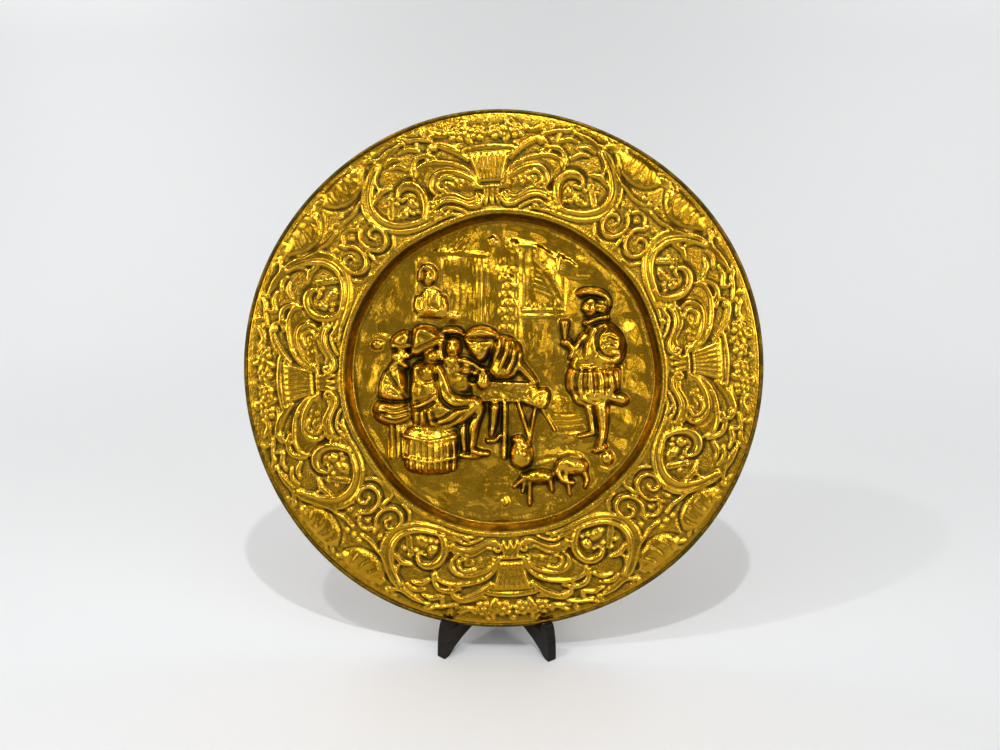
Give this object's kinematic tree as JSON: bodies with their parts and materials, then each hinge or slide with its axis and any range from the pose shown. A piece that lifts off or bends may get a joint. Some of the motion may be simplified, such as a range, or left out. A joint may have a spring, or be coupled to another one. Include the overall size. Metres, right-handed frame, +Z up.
{
  "type": "embossed decorative plate on an easel",
  "caption": "Round brass wall charger with a tavern scene in its sunk middle and a scrolled border of urns, leaning on a small crossed-board wooden easel.",
  "frame": {"origin": "on the ground, under the middle of the whole object's box", "axes": "+Z up, +X to the right of someone who faces the plate, and the plate faces -Y"},
  "size_m": [0.4992, 0.146, 0.5073],
  "materials": {
    "embossed_brass": "hand-embossed, lightly tarnished, rubbed bright on the raised parts",
    "dark_wood": "dark stain under satin varnish"
  },
  "bodies": {
    "root": {"plate": "embossed_brass", "stand_left_board": "dark_wood", "stand_right_board": "dark_wood"}
  },
  "joints": []
}
